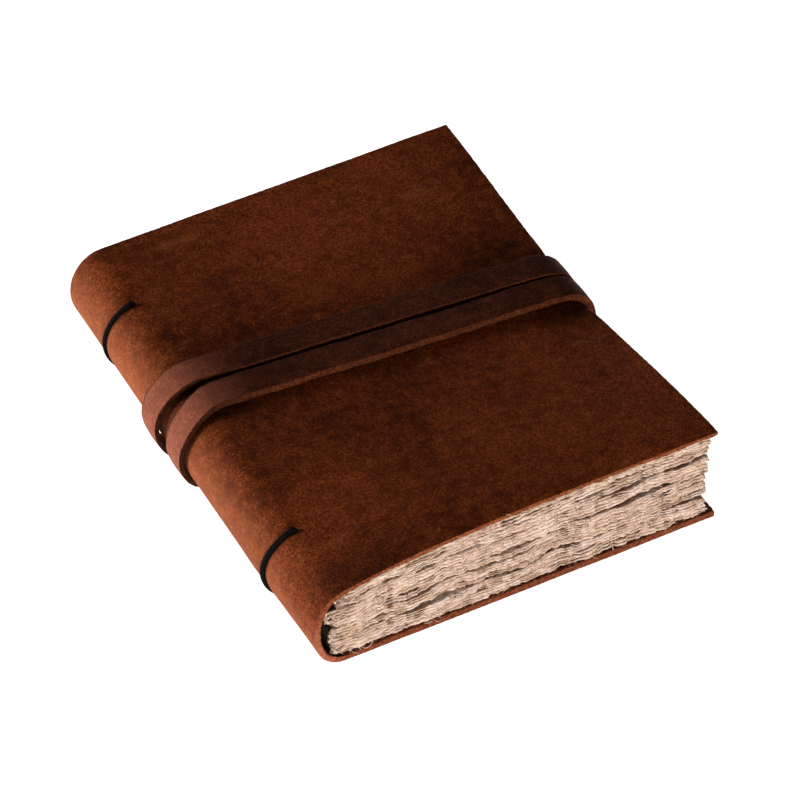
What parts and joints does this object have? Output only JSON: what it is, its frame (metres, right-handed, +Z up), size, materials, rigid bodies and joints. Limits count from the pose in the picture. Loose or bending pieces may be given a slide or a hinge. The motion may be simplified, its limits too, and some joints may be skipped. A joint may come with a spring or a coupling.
{
  "type": "leather notebook cover",
  "caption": "Soft leather journal cover sewn on two cords round handmade paper signatures, closed by a strap wound twice round the middle.",
  "frame": {"origin": "middle of the closed journal's footprint, on the surface it lies on", "axes": "+X from the spine to the fore-edge, +Y from the foot of the pages to the head, +Z up through the front cover"},
  "size_m": [0.1378, 0.162, 0.0373],
  "materials": {
    "cover_leather": "oiled nubuck with raw cut edges",
    "strap_leather": "oiled leather with raw cut edges",
    "handmade_paper": "soft handmade paper with torn edges",
    "waxed_cord": "black waxed braid",
    "linen_thread": "undyed linen"
  },
  "bodies": {
    "back_cover": {"cover_back": "cover_leather", "cord_head": "waxed_cord", "cord_foot": "waxed_cord"},
    "signature_1": {"cover_spine_1": "cover_leather", "sewing_thread_1": "linen_thread", "signature_1_sheet_1": "handmade_paper", "signature_1_sheet_2": "handmade_paper", "signature_1_sheet_3": "handmade_paper", "signature_1_sheet_4": "handmade_paper"},
    "signature_2": {"cover_spine_2": "cover_leather", "sewing_thread_2": "linen_thread", "signature_2_sheet_1": "handmade_paper", "signature_2_sheet_2": "handmade_paper", "signature_2_sheet_3": "handmade_paper", "signature_2_sheet_4": "handmade_paper"},
    "signature_3": {"cover_spine_3": "cover_leather", "sewing_thread_3": "linen_thread", "signature_3_sheet_1": "handmade_paper", "signature_3_sheet_2": "handmade_paper", "signature_3_sheet_3": "handmade_paper", "signature_3_sheet_4": "handmade_paper"},
    "signature_4": {"cover_spine_4": "cover_leather", "sewing_thread_4": "linen_thread", "signature_4_sheet_1": "handmade_paper", "signature_4_sheet_2": "handmade_paper", "signature_4_sheet_3": "handmade_paper", "signature_4_sheet_4": "handmade_paper"},
    "front_cover": {"cover_front": "cover_leather"},
    "strap": {"wrap_strap": "strap_leather"}
  },
  "joints": [
    {"name": "back_cover_bend", "type": "hinge", "parent": "back_cover", "child": "signature_1", "pos_m": [-0.06001, 0, 0.0046], "axis": [0, -1, 0], "range_deg": [0, 8], "deforming": ["cord_head", "cord_foot"]},
    {"name": "lower_spine_bend", "type": "hinge", "parent": "signature_1", "child": "signature_2", "pos_m": [-0.06432, 0, 0.01068], "axis": [0, -1, 0], "range_deg": [0, 20], "deforming": ["cord_head", "cord_foot"]},
    {"name": "middle_opening", "type": "hinge", "parent": "signature_2", "child": "signature_3", "pos_m": [-0.06535, 0, 0.01635], "axis": [0, -1, 0], "range_deg": [0, 112], "deforming": ["wrap_strap", "cord_head", "cord_foot"]},
    {"name": "upper_spine_bend", "type": "hinge", "parent": "signature_3", "child": "signature_4", "pos_m": [-0.06442, 0, 0.02202], "axis": [0, -1, 0], "range_deg": [0, 20], "deforming": ["cord_head", "cord_foot"]},
    {"name": "front_cover_bend", "type": "hinge", "parent": "signature_4", "child": "front_cover", "pos_m": [-0.06001, 0, 0.02817], "axis": [0, -1, 0], "range_deg": [0, 8], "deforming": ["cord_head", "cord_foot"]},
    {"name": "strap_slip_off", "type": "slide", "parent": "back_cover", "child": "strap", "axis": [0, 1, 0], "range_m": [0, 0.13]}
  ],
  "couplings": [
    {"joint": "back_cover_bend", "follows": "middle_opening", "ratio": 0.071429},
    {"joint": "lower_spine_bend", "follows": "middle_opening", "ratio": 0.17857},
    {"joint": "upper_spine_bend", "follows": "middle_opening", "ratio": 0.17857},
    {"joint": "front_cover_bend", "follows": "middle_opening", "ratio": 0.071429},
    {"joint": "strap_slip_off", "follows": "middle_opening", "m_per_rad": 0.0665}
  ]
}
